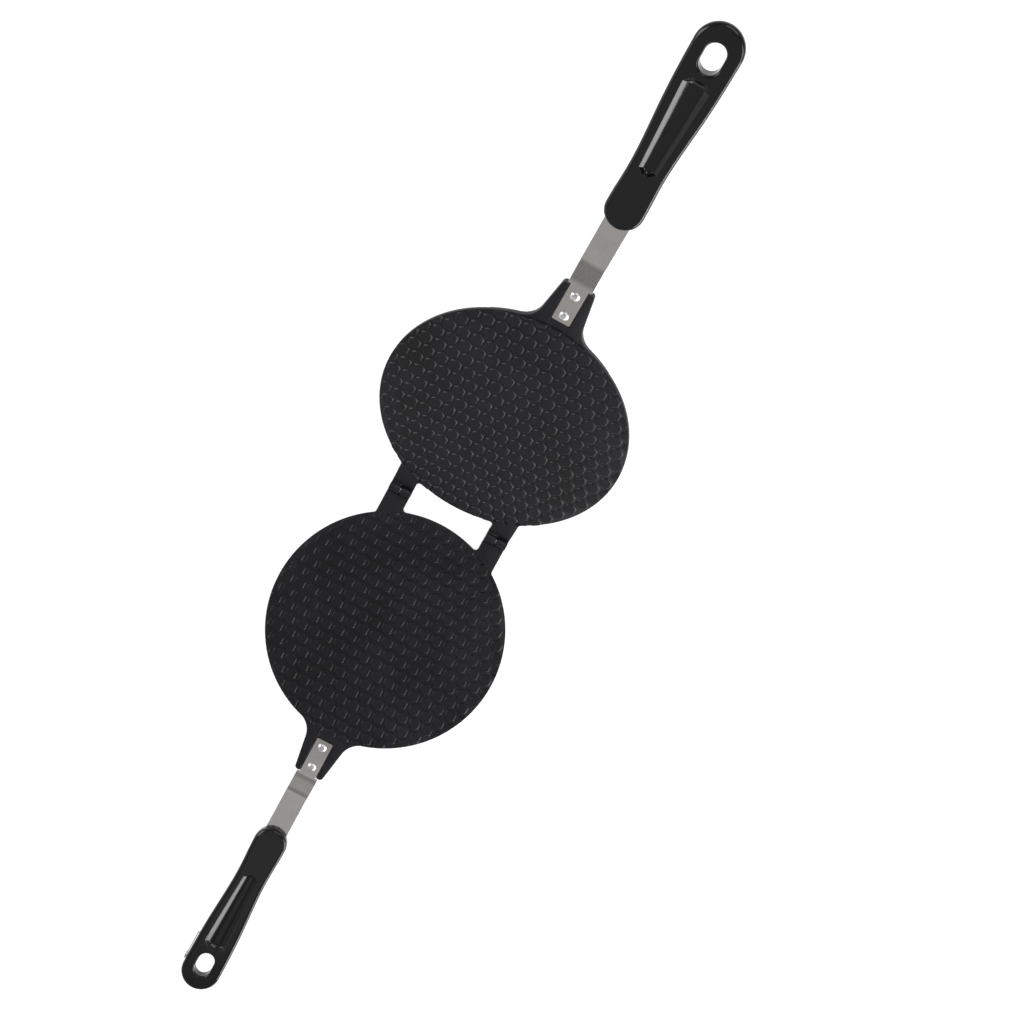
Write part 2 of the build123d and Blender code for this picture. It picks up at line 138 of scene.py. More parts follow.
def make_coating():
    material, tree, output, place = new_material("nonstick_coating")
    bloom = add_node(tree, "ShaderNodeTexNoise", {
        "Vector": place, "Scale": 22.0, "Detail": 5.0, "Roughness": 0.6})
    peel = add_node(tree, "ShaderNodeTexNoise", {"Vector": place, "Scale": 1500.0, "Detail": 3.0})
    colour = add_node(tree, "ShaderNodeValToRGB", {"Fac": bloom.outputs["Fac"]})
    colour.color_ramp.elements[0].position = 0.35
    colour.color_ramp.elements[0].color = linear("0c0c0e")
    colour.color_ramp.elements[1].position = 0.70
    colour.color_ramp.elements[1].color = linear("141418")
    rough = add_node(tree, "ShaderNodeMapRange", {
        "Value": bloom.outputs["Fac"], "To Min": 0.32, "To Max": 0.42})
    bump = add_node(tree, "ShaderNodeBump", {
        "Height": peel.outputs["Fac"], "Strength": 0.25, "Distance": 0.0001})
    shader = add_node(tree, "ShaderNodeBsdfPrincipled", {
        "Base Color": colour.outputs["Color"], "Roughness": rough.outputs["Result"],
        "Normal": bump.outputs["Normal"], "Specular IOR Level": 0.25})
    tree.links.new(shader.outputs["BSDF"], output.inputs["Surface"])
    return material


coating = make_coating()
print("coating nodes:", len(coating.node_tree.nodes))

# %% [markdown]
# ### Moulded handles
#
# The handles are black phenolic plastic, pressed in a polished mould. The surface is glossy,
# with a faint flow pattern in its gloss and a waviness that only shows in reflections.

# %% The plastic of the handles


def make_bakelite():
    material, tree, output, place = new_material("black_bakelite")
    flow = add_node(tree, "ShaderNodeTexNoise", {"Vector": place, "Scale": 60.0, "Detail": 4.0})
    wave = add_node(tree, "ShaderNodeTexNoise", {"Vector": place, "Scale": 220.0, "Detail": 2.0})
    colour = add_node(tree, "ShaderNodeValToRGB", {"Fac": flow.outputs["Fac"]})
    colour.color_ramp.elements[0].color = linear("080809")
    colour.color_ramp.elements[1].color = linear("0c0c0d")
    rough = add_node(tree, "ShaderNodeMapRange", {
        "Value": flow.outputs["Fac"], "To Min": 0.08, "To Max": 0.17})
    bump = add_node(tree, "ShaderNodeBump", {
        "Height": wave.outputs["Fac"], "Strength": 0.08, "Distance": 0.0003})
    shader = add_node(tree, "ShaderNodeBsdfPrincipled", {
        "Base Color": colour.outputs["Color"], "Roughness": rough.outputs["Result"],
        "Normal": bump.outputs["Normal"], "Specular IOR Level": 0.32})
    tree.links.new(shader.outputs["BSDF"], output.inputs["Surface"])
    return material


bakelite = make_bakelite()
print("bakelite nodes:", len(bakelite.node_tree.nodes))

# %% [markdown]
# ### Metals
#
# The strips are stainless sheet with a fine brushed grain along their length. The grain is a
# noise that is stretched 60 times along Y, and it changes the colour, the roughness and the
# bump a little. The rivets are soft bright aluminium, the hook is pressed from stainless sheet
# with no grain, and the pins are plain steel with a grain along them.

# %% Brushed sheet, and the same tree with other values for the other metals


def make_metal(name, dark, bright, rough_low, rough_high, stretch, grain, depth):
    """A metal whose noise has the scale of the grain, stretched along the axes as given."""
    material, tree, output, place = new_material(name)
    along = add_node(tree, "ShaderNodeMapping", {"Vector": place, "Scale": stretch})
    lines = add_node(tree, "ShaderNodeTexNoise", {
        "Vector": along.outputs["Vector"], "Scale": grain, "Detail": 4.0})
    cloud = add_node(tree, "ShaderNodeTexNoise", {"Vector": place, "Scale": 90.0, "Detail": 3.0})
    mixed = add_node(tree, "ShaderNodeMath", {
        0: lines.outputs["Fac"], 1: cloud.outputs["Fac"]}, operation="ADD")
    colour = add_node(tree, "ShaderNodeMapRange", {
        "Value": mixed.outputs["Value"], "From Min": 0.6, "From Max": 1.4})
    tint = add_node(tree, "ShaderNodeValToRGB", {"Fac": colour.outputs["Result"]})
    tint.color_ramp.elements[0].color = linear(dark)
    tint.color_ramp.elements[1].color = linear(bright)
    rough = add_node(tree, "ShaderNodeMapRange", {
        "Value": lines.outputs["Fac"], "To Min": rough_low, "To Max": rough_high})
    bump = add_node(tree, "ShaderNodeBump", {
        "Height": lines.outputs["Fac"], "Strength": depth, "Distance": 0.0001})
    shader = add_node(tree, "ShaderNodeBsdfPrincipled", {
        "Base Color": tint.outputs["Color"], "Roughness": rough.outputs["Result"],
        "Normal": bump.outputs["Normal"], "Metallic": 1.0})
    tree.links.new(shader.outputs["BSDF"], output.inputs["Surface"])
    return material


brushed = make_metal("brushed_stainless", "b3afaa", "c1bdb8", 0.17, 0.26,
                     (1.0, 0.016, 1.0), 2600.0, 0.06)
rivet_metal = make_metal("bright_aluminium", "bebebe", "d2d2d2", 0.32, 0.40,
                         (1.0, 1.0, 1.0), 700.0, 0.04)
pressed = make_metal("pressed_stainless", "c4c2bf", "d0cecb", 0.40, 0.46,
                     (1.0, 1.0, 1.0), 300.0, 0.02)
pin_steel = make_metal("turned_steel", "8f8f90", "b0b0b0", 0.22, 0.34,
                       (0.02, 1.0, 1.0), 2600.0, 0.15)
print("metals:", [m.name for m in (brushed, rivet_metal, pressed, pin_steel)])

# %% [markdown]
# ## The finish of each solid
#
# Each solid gets its finish by the words in its name. The hook and its pin are right as they
# are, and their meshes are left alone. All the others are drawn again below, and a finer shape
# takes their place.

# %% Finishes of the solids


def finish_of(name):
    """The finish of a solid, by the words in its name."""
    if "handle" in name:
        return bakelite
    if "rivet" in name:
        return rivet_metal
    if "pin" in name:
        return pin_steel
    if "hook" in name:
        return pressed
    if "tang" in name:
        return brushed
    return coating


for name, solid in nodes.items():
    solid.data.materials.clear()
    solid.data.materials.append(finish_of(name))
print("finishes:", {name: finish_of(name).name for name in sorted(nodes)})

# %% [markdown]
# ## The cast plates
#
# The solid of a plate has sharp six-sided cells. On the real casting each cell is a soft pillow,
# and every edge of the lugs is rounded by the mould and the coating. A bevel over the whole solid
# would blunt all edges alike and cost many faces, so the plate is drawn again as a few closed
# surfaces that reach into each other: a turned disc, 276 pillows, the forked lug, and for
# each hinge lug an arm, a heel and a knuckle. They are worked out with numpy as grids of points.

# %% Sizes of the castings, in millimetres, as the solids have them
PLATE_RADIUS = 90.0
PLATE_MIDDLE = 98.8          # from the hinge line
RIM = 89.6                   # the cells stop here
FACE = -0.8                  # level of the cooking face
GROOVE = -1.6                # floor between the cells
BACK = -5.4
PITCH = 10.5                 # from cell to cell
PILLOW_TOP, PILLOW_FOOT = 3.65, 4.4      # from a cell's middle, square to its sides
print("plate:", 2 * PLATE_RADIUS, "mm across,", round(FACE - BACK, 2), "mm thick")

# %% From grids to faces, and from faces to objects
SAME_POINT = 1e-6            # points nearer than this, in metres, are made one
SHARP_METAL = 42             # degrees between two faces, past which their edge stays sharp


def skin(grid, capped=False):
    """Points and faces of a grid of rows and columns that closes on itself along its columns.

    The face between row i and column j joins (i, j), (i, j + 1), (i + 1, j + 1), (i + 1, j).
    A capped skin also gets its first and last rows as faces."""
    rows, columns = grid.shape[:2]
    row, column = np.meshgrid(np.arange(rows - 1), np.arange(columns), indexing="ij")
    here = row * columns + column
    beside = row * columns + (column + 1) % columns
    faces = np.stack([here, beside, beside + columns, here + columns], -1).reshape(-1, 4).tolist()
    if capped:
        ends = np.arange(columns)
        faces += [ends[::-1].tolist(), (ends + (rows - 1) * columns).tolist()]
    return grid.reshape(-1, 3), faces


def turned(profile, count):
    """x = d cos a, y = d sin a, z = h for each (d, h) of the profile and each angle a."""
    distance, height = np.asarray(profile, float).T
    around = np.linspace(0, tau, count, endpoint=False)
    return np.stack([np.outer(distance, np.cos(around)), np.outer(distance, np.sin(around)),
                     np.outer(height, np.ones_like(around))], -1)


def shade(mesh, sharp, finish):
    """Smooth shading, but for edges where faces meet at more than so many degrees."""
    mesh.polygons.foreach_set("use_smooth", np.ones(len(mesh.polygons), bool))
    mesh.set_sharp_from_angle(angle=radians(sharp))
    mesh.materials.append(finish)


def add_object(name, data):
    """An object with this data, at the origin of the scene."""
    item = bpy.data.objects.new(name, data)
    bpy.context.scene.collection.objects.link(item)
    return item


def make_piece(name, half, skins, finish, body, stands_for):
    """Joins closed skins, drawn in mm in a half's own frame, into one object of the pan."""
    points = []
    faces = []
    start = 0
    for more_points, more_faces in skins:
        points.append(more_points)
        faces += [[corner + start for corner in face] for face in more_faces]
        start += len(more_points)
    mesh = bpy.data.meshes.new(name)
    mesh.from_pydata(to_pan(half, np.concatenate(points)).tolist(), [], faces)
    form = bmesh.new()
    form.from_mesh(mesh)
    bmesh.ops.remove_doubles(form, verts=form.verts, dist=SAME_POINT)
    bmesh.ops.recalc_face_normals(form, faces=form.faces)
    form.to_mesh(mesh)
    form.free()
    shade(mesh, SHARP_METAL, finish)
    piece = add_object(name, mesh)
    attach(piece, body)
    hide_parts(stands_for)
    print(name, "points", len(mesh.vertices), "faces", len(mesh.polygons))


# %% [markdown]
# ### The pillows of the honeycomb
#
# A pillow is a height over its cell. Distance is measured square to the six sides, and the three
# pairs of sides are blended so that the corners are round. The height is full in the middle and
# runs down to the groove as a smooth step. Each cell is drawn as rays from a start point, cut
# where they reach the groove or the rim of the plate, so the cells at the rim need no other code.

# %% One formula for all the cells
BLEND = 30                   # power that blends the sides of a cell
BEYOND = 12.0                # farther from a ray's start than any cell reaches
HALVINGS = 24                # of the span in which a ray's end is looked for
SHARES = np.array([0, 0.79, 0.83, 0.88, 0.94, 1, 1, 0])     # of a ray: its top, then its back
SUNK = 0.1                   # of a cell's back, below the groove's floor


def cell_distance(x, y):
    """Distance from a cell's middle, square to its sides: the distances along 0, 60 and 120
    degrees are each raised to the power BLEND and added, and that root of the sum is taken."""
    along = [np.abs(x * cos(turn) + y * sin(turn)) ** BLEND for turn in (0, tau / 6, tau / 3)]
    return sum(along) ** (1 / BLEND)


def pillow_height(distance):
    """Height over the groove: (FACE - GROOVE)(1 - 3 t t + 2 t t t).

    t runs from 0 at the top of the slope to 1 at its foot."""
    t = np.clip((distance - PILLOW_TOP) / (PILLOW_FOOT - PILLOW_TOP), 0, 1)
    return (FACE - GROOVE) * (1 - t * t * (3 - 2 * t))


def pillows(middle, turns, start):
    """Skins of many cells: point = start + share * reach * ray, height = pillow at that point."""
    ray = np.stack([np.cos(turns), np.sin(turns)], -1)
    along = start @ ray.T
    to_rim = -along + np.sqrt(along ** 2 + RIM ** 2 - (start ** 2).sum(1)[:, None])
    near = np.zeros_like(to_rim)
    far = np.full_like(to_rim, BEYOND)
    for _ in range(HALVINGS):
        half_way = (near + far) / 2
        spot = (start - middle)[:, None] + half_way[..., None] * ray
        inside = cell_distance(spot[..., 0], spot[..., 1]) < PILLOW_FOOT
        near = np.where(inside, half_way, near)
        far = np.where(inside, far, half_way)
    reach = np.minimum(to_rim, near)
    spot = start[:, None, None] + (SHARES[:, None] * reach[:, None])[..., None] * ray
    off = spot - middle[:, None, None]
    height = GROOVE + pillow_height(cell_distance(off[..., 0], off[..., 1]))
    height[:, -2:] = GROOVE - SUNK
    grid = np.concatenate([spot + (0, PLATE_MIDDLE), height[..., None]], -1)
    return [skin(cell) for cell in grid]


# %% All the cells of a plate
SHIFT = 2.0                  # of the whole pattern, towards the hinge
WHOLE = 5.2                  # a cell is whole if its middle is so far inside the rim
PART = 2.2                   # and is cut by the rim if it is no farther outside
CORNER_TURN = 25             # degrees between the middle of a side and either end of it
INSIDE = 1.2                 # of the rim, where the rays of a cut cell start at the latest


def honeycomb():
    """Skins of the whole cells, with two rays to each side, and of the cut ones, with more."""
    column, row = np.meshgrid(np.arange(-10, 11), np.arange(-11, 12))
    middle = np.stack([(column + row % 2 / 2) * PITCH, row * PITCH * cos(tau / 12) - SHIFT], -1)
    middle = middle.reshape(-1, 2)
    away = np.hypot(*middle.T)
    whole = away < RIM - WHOLE
    cut = ~whole & (away < RIM + PART)
    corners = np.radians([turn + side for turn in range(0, 360, 60)
                          for side in (-CORNER_TURN, CORNER_TURN)])
    around = np.linspace(0, tau, 36, endpoint=False)
    pulled_in = middle * np.minimum(1, (RIM - INSIDE) / np.maximum(away, 1))[:, None]
    return (pillows(middle[whole], corners, middle[whole])
            + pillows(middle[cut], around, pulled_in[cut]))


cells = honeycomb()
print("cells:", len(cells), "faces each:", len(cells[0][1]))

# %% [markdown]
# ### The disc
#
# The body of a plate is a turned shape: a profile of distance and height, carried round the
# plate's middle. Its back has one shallow turned ring, and rows close beside it keep the rest of
# the back flat in the smooth shading.

# %% A profile turned round the plate's middle
BACK_EDGE = 1.2              # radius of the edge between rim and back
RING_DEPTH = 0.6


def quarter(start, end, count):
    """Angles from start to end, in radians."""
    return np.radians(np.linspace(start, end, count))


def disc():
    """The profile runs from the middle of the face over the rim to the middle of the back."""
    edge = quarter(0, -90, 6)
    rim_edge = np.stack([PLATE_RADIUS - BACK_EDGE + BACK_EDGE * np.cos(edge),
                         BACK + BACK_EDGE + BACK_EDGE * np.sin(edge)], -1)
    face = [(0, GROOVE), (45, GROOVE), (RIM, GROOVE), (89.88, GROOVE - 0.08),
            (PLATE_RADIUS, GROOVE - 0.35), (PLATE_RADIUS, -3)]
    back = [(88.4, BACK), (87.6, BACK), (82, BACK), (81.4, BACK), (81.15, BACK + 0.12),
            (80.95, BACK + RING_DEPTH), (79.05, BACK + RING_DEPTH), (78.85, BACK + 0.12),
            (78.6, BACK), (78, BACK), (76.5, BACK), (40, BACK), (0, BACK)]
    return skin(turned(np.concatenate([face, rim_edge, back]), 240) + (0, PLATE_MIDDLE, 0))


print("disc faces:", len(disc()[1]))

# %% [markdown]
# ### Hinge lugs
#
# Each lug is an arm from the plate, a heel that is hollowed for the other half's knuckle, and
# this half's own knuckle. All three are a flat outline carried square to itself, with its edges
# rounded by drawing the outline in along its normals near both ends.

# %% An outline carried between two levels, with rounded edges


def rounded_prism(outline, low, high, edge):
    """Rows of the outline, from low to high.

    Near both ends it is drawn in by edge (1 - sin a) at the depth edge (1 - cos a)."""
    outline = np.asarray(outline, float)
    after = np.roll(outline, -1, 0)
    if (outline[:, 0] * after[:, 1] - after[:, 0] * outline[:, 1]).sum() < 0:
        outline = outline[::-1]
        after = np.roll(outline, -1, 0)
    step = after - outline
    side = np.stack([step[:, 1], -step[:, 0]], -1) / np.linalg.norm(step, axis=1)[:, None]
    before = np.roll(side, 1, 0)
    out = (side + before) / (1 + (side * before).sum(1))[:, None]
    turn = quarter(0, 90, 4)
    drawn_in = edge * (1 - np.sin(turn))
    depth = edge * (1 - np.cos(turn))
    drawn_in = np.concatenate([drawn_in, drawn_in[::-1]])
    level = np.concatenate([low + depth, high - depth[::-1]])
    flat = outline - drawn_in[:, None, None] * out
    return np.concatenate([flat, np.broadcast_to(level[:, None, None], (*flat.shape[:2], 1))], -1)


def arc(middle, radius, start, end, count):
    """Points of a circle from one angle to another, in degrees."""
    turn = quarter(start, end, count)
    return np.stack([middle[0] + radius * np.cos(turn), middle[1] + radius * np.sin(turn)], -1)


# %% The three parts of a hinge lug
LUG_INNER, LUG_OUTER = 31.65, 49.05      # its sides
KNUCKLE = 8.4                            # width of one knuckle
CORNER = 2.5                             # radius where the arm leaves the plate
ARM_END, LUG_ROOT = 5.0, 7               # ends of the arm, and of heel and knuckle within it
ARM_EDGE, LUG_EDGE = 0.4, 0.35           # radius of the edges of the arm, and of the other two
HOLLOW, BARREL = 4.5, 4.2                # radius round the pin: the heel's hollow, the knuckle
ARM_SUNK = 0.5                           # of the arm's end, inside the rim of the cells


def arm(side):
    """Plan of an arm: straight sides, a round corner on each, and an end along the cells' rim."""
    reach = PLATE_RADIUS + CORNER
    inner = (LUG_INNER - CORNER, PLATE_MIDDLE - np.sqrt(reach ** 2 - (LUG_INNER - CORNER) ** 2))
    outer = (LUG_OUTER + CORNER, PLATE_MIDDLE - np.sqrt(reach ** 2 - (LUG_OUTER + CORNER) ** 2))
    to_inner = np.degrees(np.arctan2(inner[1] - PLATE_MIDDLE, inner[0]))
    to_outer = np.degrees(np.arctan2(outer[1] - PLATE_MIDDLE, outer[0]))
    outline = np.concatenate([
        [(LUG_OUTER, ARM_END)], arc(outer, CORNER, 180, to_outer + 180, 6),
        arc((0, PLATE_MIDDLE), RIM - ARM_SUNK, to_outer, to_inner, 12),
        arc(inner, CORNER, to_inner + 180, 0, 8), [(LUG_INNER, ARM_END)]])
    return skin(rounded_prism(outline * (side, 1), BACK, FACE, ARM_EDGE), capped=True)


def heel(side):
    """Side view of the heel: the arm's end, hollowed round the pin, cut back on the stop."""
    hollow = arc((0, 0), HOLLOW, -10.2, -108.1, 14)
    outline = np.concatenate([[(LUG_ROOT, FACE)], hollow, [(-1.79, BACK), (LUG_ROOT, BACK)]])
    rows = rounded_prism(outline, LUG_INNER, LUG_OUTER, LUG_EDGE)[..., [2, 0, 1]] * (side, 1, 1)
    return skin(rows, capped=True)


def knuckle(low):
    """Side view of a knuckle: a barrel round the pin, with a small hollow to the arm.

    It starts 0.02 mm under the arm's face and 0.03 mm over its back, so no faces coincide."""
    outline = np.concatenate([
        [(LUG_ROOT, FACE - 0.02)], arc((5.385, 0.38), 1.2, -90, -176, 6),
        arc((0, 0), BARREL, 5, 252, 28), [(-1.72, BACK + 0.03), (LUG_ROOT, BACK + 0.03)]])
    rows = rounded_prism(outline, low, low + KNUCKLE, LUG_EDGE)[..., [2, 0, 1]]
    return skin(rows, capped=True)


lugs = [arm(1), arm(-1), heel(1), heel(-1), knuckle(LUG_INNER), knuckle(-LUG_OUTER)]
print("lug skins:", len(lugs), "faces:", sum(len(faces) for _, faces in lugs))

# %% [markdown]
# ### The forked lug
#
# The lug that takes the steel strip widens into the plate with a large fillet, and its underside
# runs down from the plate's back. It is a section carried outward: a rounded bar with a notch in
# its top. The section's half width, its underside and the notch's floor are functions of y.

# %% The section of the fork, carried from the plate to the tips
FORK_ROOT, RAMP_END = 176.8, 192.8       # where it starts, and where its underside is level
FORK_TOP, FORK_BOTTOM = -1.8, -7.3
CHORD = 89.95                            # radius of its sides in the plate, just inside the rim
ROUND_FROM, TIP = 220.8, 2               # where the tips start to round off, and their radius
FILLET_X, FILLET_Y, FILLET = 31.13, 200.12, 16      # middle and radius of the fillet
FILLET_FROM, FILLET_TO = 184.83, 197.59  # from the plate's edge to the straight side
STRAIGHT_X, STRAIGHT_Y, TAPER = 17, 187.18, 0.16    # a point of that side, and its taper
NOTCH, NOTCH_HALF, NOTCH_FLOOR = 194.2, 7.1, -4.0   # its start, half width and floor
BEFORE_NOTCH = -1.96                     # level of the section's middle before the notch
FORK_EDGE, NOTCH_EDGE = 0.6, 0.15        # rounded and broken edges


def fork():
    """Each row is the section at one y; the row at the notch's start comes twice."""
    bend = quarter(-107.1, -171, 12)
    y = np.sort(np.concatenate([
        np.linspace(FORK_ROOT, 184, 6), FILLET_Y + FILLET * np.sin(bend), [NOTCH, NOTCH],
        np.linspace(199, ROUND_FROM, 6), ROUND_FROM + TIP * np.sin(quarter(15, 89, 6))]))
    notched = np.arange(len(y)) > np.searchsorted(y, NOTCH)
    chord = np.sqrt(CHORD ** 2 - np.minimum(y - PLATE_MIDDLE, 89) ** 2)
    filleted = FILLET_X - np.sqrt(np.maximum(FILLET ** 2 - (y - FILLET_Y) ** 2, 0))
    straight = STRAIGHT_X - TAPER * (y - STRAIGHT_Y)
    wide = np.where(y < FILLET_FROM, chord, np.where(y < FILLET_TO, filleted, straight))
    wide = wide - (TIP - np.sqrt(TIP ** 2 - np.clip(y - ROUND_FROM, 0, TIP) ** 2))
    low = np.interp(y, [FORK_ROOT, RAMP_END], [BACK, FORK_BOTTOM])
    top = np.full_like(y, FORK_TOP)
    floor = np.where(notched, NOTCH_FLOOR, BEFORE_NOTCH)
    seat = np.full_like(y, NOTCH_HALF)
    none = np.zeros_like(y)
    e = FORK_EDGE
    right = [(none, floor), (seat, floor), (seat, top - NOTCH_EDGE), (seat + NOTCH_EDGE, top),
             (wide - e, top), (wide - 0.3 * e, top - 0.3 * e), (wide, top - e),
             (wide, low + e), (wide - 0.3 * e, low + 0.3 * e), (wide - e, low), (none, low)]
    x = np.stack([point[0] for point in right] + [-point[0] for point in right[-2:0:-1]], -1)
    z = np.stack([point[1] for point in right] + [point[1] for point in right[-2:0:-1]], -1)
    return skin(np.stack([x, np.broadcast_to(y[:, None], x.shape), z], -1), capped=True)


print("fork faces:", len(fork()[1]))

# %% Both castings
casting = [disc(), *cells, *lugs, fork()]
for half in ("lower", "upper"):
    make_piece(half + "_casting", half, casting, coating, half + "_half",
               half + "_plate")

# %% [markdown]
# ### Rivets
#
# The heads are closed in a press, so they are low domes with a small flat on top and a crisp
# edge. The solids' heads are coarse balls, and a ball's facets would glitter, so each rivet is
# turned again from a finer profile.

# %% Turned rivets
RIVET_PLACES = {"inner": 199.9, "outer": 216.5}     # from the hinge line


def rivet(y):
    """The profile runs from the top of the head down the shank to the tail."""
    head = [(0, -0.52), (1.3, -0.54), (2.1, -0.72), (2.8, -1.12), (3.25, -1.55), (3.4, -2.0)]
    tail = [(2.0, -2.0), (2.0, -7.3), (3.2, -7.3), (3.0, -7.8), (2.3, -8.25), (1.2, -8.46),
            (0, -8.5)]
    return skin(turned(head + tail, 40) + (0, y, 0))


for half in ("lower", "upper"):
    for place, y in RIVET_PLACES.items():
        make_piece(half + "_rivet_turned_" + place, half, [rivet(y)], rivet_metal, half + "_half",
                   half + "_rivet_" + place)

# %% [markdown]
# ### Steel strips
#
# The strip is pressed from sheet, so its two bends are round and catch the light as soft bands,
# and its cut edges are broken. It is a section carried along a bent line: the line's height and
# the section's half width are functions of y.

# %% A strip with round bends
TONGUE_END, SHOULDER, STRIP_END = 194.6, 223.8, 301.7
TONGUE_HALF, STRIP_HALF = 6.65, 8.7      # half widths
STRIP_CORNER = 0.8           # radius of the corners of the tongue and the shoulders
BROKEN = 0.18                # what is taken off the cut edges
LEVELS = (-3.0, -7.7)        # of the strip's middle, in the fork and in the handle
JOGGLE = (226.3, 239.8)      # where the two bends would meet their flats as sharp corners
BEND = 2.6                   # of each bend, to both sides of its corner
FINE = np.linspace(190, 305, 1151)       # 0.1 mm apart: places where the slope is measured


def bent_height(y):
    """Height of the strip's middle: the mean of the sharp line over a window of 2 BEND."""
    window = np.linspace(-BEND, BEND, 41)
    return np.interp(y[:, None] + window, JOGGLE, LEVELS).mean(1)


def strip():
    """Each row is the section of the 2 mm sheet, square to the bent line: eight points, as
    (side, face, inward from the side, inward from the face)."""
    turn = quarter(0, 90, 4)
    y = np.concatenate([TONGUE_END + STRIP_CORNER * (1 - np.cos(turn)), [SHOULDER, SHOULDER],
                        SHOULDER + STRIP_CORNER * (1 - np.cos(turn[1:])),
                        np.linspace(225, 242, 35), [256, 271, STRIP_END]])
    wide = np.where(np.arange(len(y)) < 5, TONGUE_HALF, STRIP_HALF)
    wide[:4] = TONGUE_HALF - STRIP_CORNER * (1 - np.sin(turn))
    wide[5:9] = STRIP_HALF - STRIP_CORNER * (1 - np.sin(turn))
    slope = np.gradient(bent_height(FINE), 0.1)
    tilt = np.arctan(np.interp(y, FINE, slope))[:, None]
    e = BROKEN
    ring = np.array([(1, 1, -e, 0), (1, 1, 0, -e), (1, -1, 0, e), (1, -1, -e, 0),
                     (-1, -1, e, 0), (-1, -1, 0, e), (-1, 1, 0, -e), (-1, 1, e, 0)])
    x = wide[:, None] * ring[:, 0] + ring[:, 2]
    up = ring[:, 1] + ring[:, 3]
    return skin(np.stack([x, y[:, None] - up * np.sin(tilt),
                          bent_height(y)[:, None] + up * np.cos(tilt)], -1), capped=True)


for half in ("lower", "upper"):
    make_piece(half + "_strip_bent", half, [strip()], brushed, half + "_half",
               half + "_tang")

# %% [markdown]
# ### Handles
#
# The handle's solid has the right outline, but its trough is cut with flat walls. In the picture
# the trough is a soft dish: the light on its wall fades towards the floor. So the trough's faces
# are taken out of a copy of the solid, and rows of points run down from its rim instead. The
# edge round the face gets a larger radius too, since it shows as a broad light band.

# %% A handle with a dished trough and soft edges
HANDLE_FACE = -1.2           # level of the handle's face
DISH_DEPTH = 3.3
SPINE = (314.1, 371.5)       # where the trough's floor starts and ends
FLOOR = 0.18                 # half width of that floor, as a share of the rim's
LIP = 0.04                   # share of the way over which the trough's lip is round
CAST_EDGE, SOFT_EDGE = 1.6, 2.8     # radius round the face: of the solid, and of the moulding
TROUGH_HALF, TROUGH_ENDS, TROUGH_CUT = 8.9, (311.4, 376.6), 4.3     # a box round the trough
HOLE_HALF, HOLE_ENDS = 8.5, (376.5, 402)            # and one round the hanging hole
TILTED = (0.05, 0.995)       # upward part of a normal on the rounding, from wall to face
SLACK = 0.01                 # for a point that should lie on the face
SHARP_MOULDING = 27          # degrees between two faces, past which their edge stays sharp


def from_pan(half, points):
    """Places in the pan, in metres, as points of a half's own frame, in mm."""
    return (np.asarray(points) * 1000 - HINGE_AT) @ HALF_TURN[half]


def dish(rim):
    """Rows from the rim to the floor's outline, by their share s of the way.

    depth = DISH_DEPTH sin(90 s degrees) (1 - exp(-s / LIP)): a round lip, then a dish."""
    floor = np.stack([FLOOR * rim[:, 0], np.clip(rim[:, 1], *SPINE)], -1)
    share = np.array([0.02, 0.04, 0.07, 0.11, 0.17, 0.26, 0.38, 0.52, 0.68, 0.84, 1])[:, None, None]
    flat = rim[:, :2] + share * (floor - rim[:, :2])
    depth = DISH_DEPTH * np.sin(radians(90) * share) * (1 - np.exp(-share / LIP))
    return np.concatenate([flat, HANDLE_FACE - np.broadcast_to(depth, (*flat.shape[:2], 1))], -1)


def open_rim(form):
    """The corners of the form's open edge, in order."""
    edges = [edge for edge in form.edges if edge.is_boundary]
    corner = edges[0].verts[0]
    rim = []
    while edges:
        rim.append(corner)
        edge = next(edge for edge in edges if corner in edge.verts)
        edges.remove(edge)
        corner = edge.other_vert(corner)
    return rim


def soften_face(form, half):
    """Draws the edge of the face again with a larger radius.

    A corner at angle a of the rounding lies r (1 - cos a) under the face and r (1 - sin a)
    inside the wall. Its angle is kept and r grows from CAST_EDGE to SOFT_EDGE."""
    points = from_pan(half, [corner.co for corner in form.verts])
    bent = {}
    for face in form.faces:
        x, y, z = face.normal @ Matrix(HALF_TURN[half].tolist())
        middle = from_pan(half, face.calc_center_median())
        in_hole = abs(middle[0]) < HOLE_HALF and HOLE_ENDS[0] < middle[1] < HOLE_ENDS[1]
        if TILTED[0] < z < TILTED[1] and middle[2] > HANDLE_FACE - CAST_EDGE and not in_hole:
            for corner in face.verts:
                bent.setdefault(corner.index, np.zeros(2))
                bent[corner.index] += (x, y)
    for i, out in bent.items():
        depth = HANDLE_FACE - points[i][2]
        if -SLACK < depth < CAST_EDGE + SLACK:
            a = np.arccos(np.clip(1 - depth / CAST_EDGE, 0, 1))
            grown = SOFT_EDGE - CAST_EDGE
            points[i][:2] -= out / np.linalg.norm(out) * grown * (1 - np.sin(a))
            points[i][2] -= grown * (1 - np.cos(a))
    for corner, place in zip(form.verts, to_pan(half, points)):
        corner.co = place
    return len(bent)


